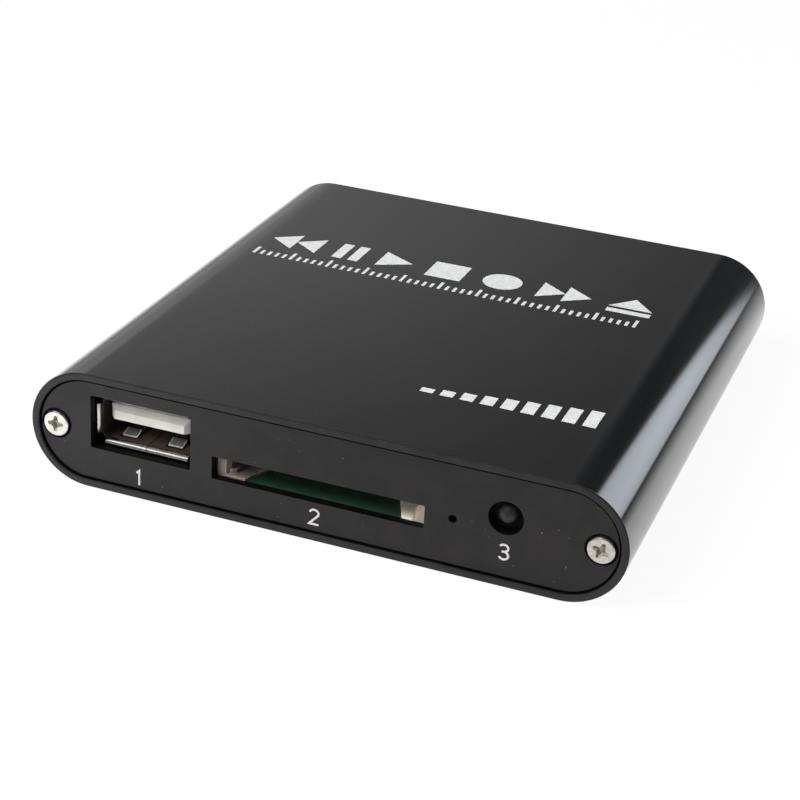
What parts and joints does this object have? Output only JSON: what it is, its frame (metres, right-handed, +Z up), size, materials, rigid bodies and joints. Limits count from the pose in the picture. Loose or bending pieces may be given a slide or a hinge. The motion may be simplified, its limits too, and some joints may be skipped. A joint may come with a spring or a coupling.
{
  "type": "pocket media player",
  "caption": "Flat pocket media player in an extruded aluminium sleeve, with a data port, a card socket and a receiver window in front and picture, sound and power sockets behind.",
  "frame": {"origin": "middle of the sleeve's underside", "axes": "+X to the right seen from the front, +Y from the front panel to the rear panel, +Z up out of the top"},
  "size_m": [0.078, 0.081, 0.0157],
  "materials": {
    "sleeve": "black anodised, satin on the flats and glossy on the round sides",
    "panel": "black anodised, fine matte grain",
    "screws": "bright nickel plating",
    "board": "green solder mask, satin",
    "bright_shell": "nickel-plated steel sheet",
    "white_plastic": "moulded, satin",
    "contacts": "thin gold plating",
    "cream_plastic": "moulded, satin",
    "wire": "drawn spring wire",
    "dark_epoxy": "dark moulded epoxy, glossy",
    "leads": "tinned",
    "clear_lens": "water-clear moulded resin",
    "black_plastic": "moulded, satin",
    "chips": "moulded black resin with tinned legs",
    "cans": "drawn aluminium cans on black bases"
  },
  "bodies": {
    "player": {"housing": "sleeve", "front_panel": "panel", "rear_panel": "panel", "front_screws": "screws", "rear_screws": "screws", "main_board": "board", "data_port_shell": "bright_shell", "data_port_tongue": "white_plastic", "data_port_contacts": "contacts", "card_socket_frame": "cream_plastic", "card_socket_cover": "bright_shell", "card_contacts": "contacts", "card_switches": "contacts", "card_spring": "wire", "ir_receiver": "dark_epoxy", "ir_leads": "leads", "status_lamp": "clear_lens", "lamp_leads": "leads", "video_port_shell": "bright_shell", "video_port_tongue": "black_plastic", "video_port_contacts": "contacts", "sound_jack_body": "black_plastic", "sound_jack_contacts": "contacts", "power_jack_body": "black_plastic", "power_jack_pin": "leads", "power_jack_contacts": "contacts", "processor": "chips", "memory_chips": "chips", "flash_chip": "chips", "crystal": "cans", "capacitors": "cans", "inductors": "chips", "regulators": "chips", "small_parts": "chips"},
    "slider": {"card_slider": "cream_plastic"},
    "cam_pin": {"card_cam_pin": "wire"}
  },
  "joints": [
    {"name": "card_slide", "type": "slide", "parent": "player", "child": "slider", "axis": [0, 1, 0], "range_m": [0, 0.0035], "stiffness_N_per_m": 200, "deforming": ["card_spring"]},
    {"name": "cam_pin_swing", "type": "hinge", "parent": "player", "child": "cam_pin", "pos_m": [0.0132, -0.0297, 0.0073], "axis": [0, 0, 1], "range_deg": [0, 4]}
  ],
  "couplings": [
    {"joint": "cam_pin_swing", "follows": "card_slide", "rad_per_m": 16.82}
  ]
}
